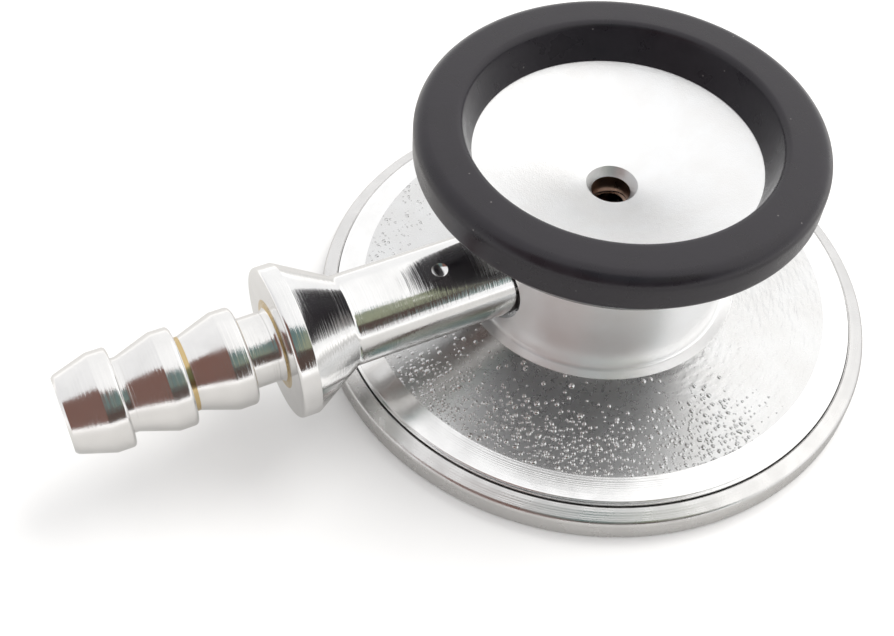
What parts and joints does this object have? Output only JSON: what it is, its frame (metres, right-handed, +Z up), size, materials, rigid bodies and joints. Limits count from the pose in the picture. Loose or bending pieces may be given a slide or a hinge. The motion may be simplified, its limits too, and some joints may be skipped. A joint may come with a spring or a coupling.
{
  "type": "stethoscope chestpiece",
  "caption": "Dual-head stethoscope chestpiece with a diaphragm side, an open bell with a soft rim and a barbed stem that turns in the neck.",
  "frame": {"origin": "on the head's axis, in the plane that the diaphragm ring rests on", "axes": "+Z up along the head's axis through the bell, -X along the stem from the head to the barb's tip"},
  "size_m": [0.0656, 0.045, 0.0203],
  "materials": {
    "head_aluminium": "bead-blasted satin",
    "ring_metal": "turned, semi-bright",
    "rim_rubber": "matte",
    "membrane": "smooth, semi-matte",
    "stem_plating": "plated brass, polished with turning marks",
    "seal_rubber": "smooth",
    "spring_steel": "drawn wire"
  },
  "bodies": {
    "head": {"head_body": "head_aluminium", "bell_rim": "rim_rubber", "stem_clip": "spring_steel"},
    "membrane": {"diaphragm": "membrane"},
    "ring": {"diaphragm_ring": "ring_metal"},
    "barb": {"stem": "stem_plating", "stem_seal": "seal_rubber", "detent_spring": "spring_steel"},
    "ball": {"detent_ball": "spring_steel"}
  },
  "joints": [
    {"name": "stem_turn", "type": "hinge", "parent": "head", "child": "barb", "pos_m": [0, 0, 0.0087], "axis": [-1, 0, 0], "continuous": true},
    {"name": "ball_press", "type": "slide", "parent": "barb", "child": "ball", "axis": [0, 0, -1], "range_m": [-0.0004, 0], "stiffness_N_per_m": 800, "springref_m": 0.001, "deforming": ["detent_spring"]},
    {"name": "ring_drop", "type": "slide", "parent": "head", "child": "membrane", "axis": [0, 0, -1], "range_m": [0, 0.00151]},
    {"name": "ring_turn", "type": "hinge", "parent": "membrane", "child": "ring", "pos_m": [0, 0, 0], "axis": [0, 0, -1], "range_deg": [0, 1080]}
  ],
  "couplings": [
    {"joint": "ring_drop", "follows": "ring_turn", "m_per_rad": 0.000079577}
  ]
}
